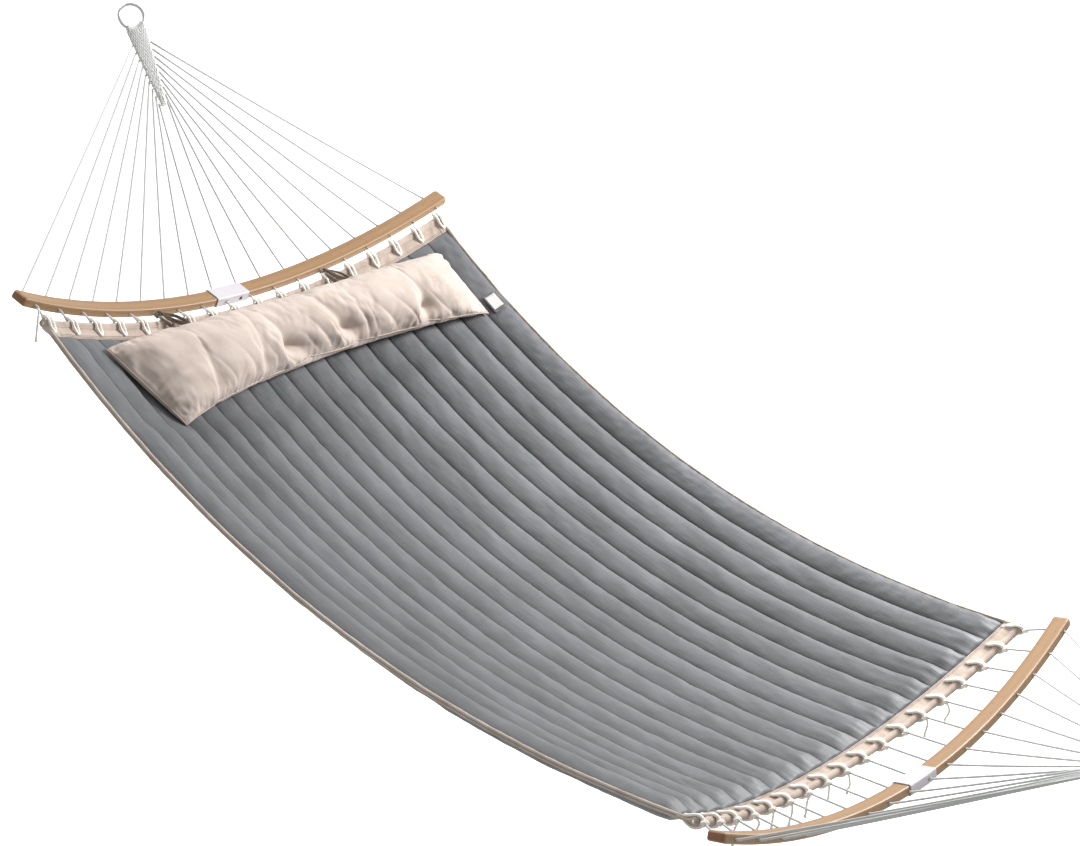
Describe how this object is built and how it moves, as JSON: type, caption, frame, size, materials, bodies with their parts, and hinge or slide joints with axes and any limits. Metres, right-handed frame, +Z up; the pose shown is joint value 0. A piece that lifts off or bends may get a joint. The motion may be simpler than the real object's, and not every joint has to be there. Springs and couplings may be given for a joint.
{
  "type": "quilted hammock with spreader bars",
  "caption": "Quilted double hammock that hangs by cords from two steel rings, spread by bowed wooden bars, with a tied pillow.",
  "frame": {"origin": "on the inside of the head ring, where the hook bears", "axes": "+X from the head to the foot, +Y to the far long side, +Z up"},
  "size_m": [2.9371, 1.3536, 0.6601],
  "materials": {
    "bamboo": "varnished laminated bamboo",
    "sleeve": "smooth pale sleeve",
    "screw": "dark countersunk screw",
    "ring_steel": "galvanised steel",
    "cord": "twisted polyester cord",
    "hem_cloth": "taupe woven polyester",
    "hem_rope": "cream cotton rope",
    "quilt_cloth": "grey woven polyester with a soft sheen",
    "piping": "beige binding tape",
    "pillow_cloth": "beige woven polyester",
    "ribbon": "brown-grey ribbon",
    "label": "dark woven tab with a bare white patch"
  },
  "bodies": {
    "bed": {"head_clew": "cord", "head_bar_near": "bamboo", "head_bar_far": "bamboo", "head_bar_sleeve": "sleeve", "head_sleeve_screw": "screw", "head_hem_band": "hem_cloth", "head_hem_rope": "hem_rope", "head_cord_01": "cord", "head_cord_02": "cord", "head_cord_03": "cord", "head_cord_04": "cord", "head_cord_05": "cord", "head_cord_06": "cord", "head_cord_07": "cord", "head_cord_08": "cord", "head_cord_09": "cord", "head_cord_10": "cord", "head_cord_11": "cord", "head_cord_12": "cord", "head_cord_13": "cord", "head_cord_14": "cord", "head_cord_15": "cord", "head_cord_16": "cord", "head_cord_17": "cord", "head_cord_18": "cord", "foot_clew": "cord", "foot_bar_near": "bamboo", "foot_bar_far": "bamboo", "foot_bar_sleeve": "sleeve", "foot_sleeve_screw": "screw", "foot_hem_band": "hem_cloth", "foot_hem_rope": "hem_rope", "foot_cord_01": "cord", "foot_cord_02": "cord", "foot_cord_03": "cord", "foot_cord_04": "cord", "foot_cord_05": "cord", "foot_cord_06": "cord", "foot_cord_07": "cord", "foot_cord_08": "cord", "foot_cord_09": "cord", "foot_cord_10": "cord", "foot_cord_11": "cord", "foot_cord_12": "cord", "foot_cord_13": "cord", "foot_cord_14": "cord", "foot_cord_15": "cord", "foot_cord_16": "cord", "foot_cord_17": "cord", "foot_cord_18": "cord", "bed_quilt": "quilt_cloth", "near_edge_piping": "piping", "far_edge_piping": "piping", "pillow_tie_near": "ribbon", "pillow_tie_far": "ribbon"},
    "head_hanger": {"head_ring": "ring_steel"},
    "foot_hanger": {"foot_ring": "ring_steel"},
    "pillow": {"pillow": "pillow_cloth"},
    "label": {"label_patch": "label"}
  },
  "joints": [
    {"name": "head_ring_lean", "type": "hinge", "parent": "bed", "child": "head_hanger", "pos_m": [0.0399, 0, -0.03564], "axis": [0.2815, 0.9063, 0.3152], "range_deg": [-20, 20]},
    {"name": "foot_ring_lean", "type": "hinge", "parent": "bed", "child": "foot_hanger", "pos_m": [2.88139, 0, -0.03564], "axis": [-0.2815, -0.9063, 0.3152], "range_deg": [-20, 20]},
    {"name": "pillow_flip", "type": "hinge", "parent": "bed", "child": "pillow", "pos_m": [0.6331, 0, -0.382], "axis": [0, -1, 0], "range_deg": [0, 110]},
    {"name": "label_flip", "type": "hinge", "parent": "bed", "child": "label", "pos_m": [0.80178, 0.62386, -0.42838], "axis": [-0.9645, 0, 0.2639], "range_deg": [0, 120]}
  ]
}
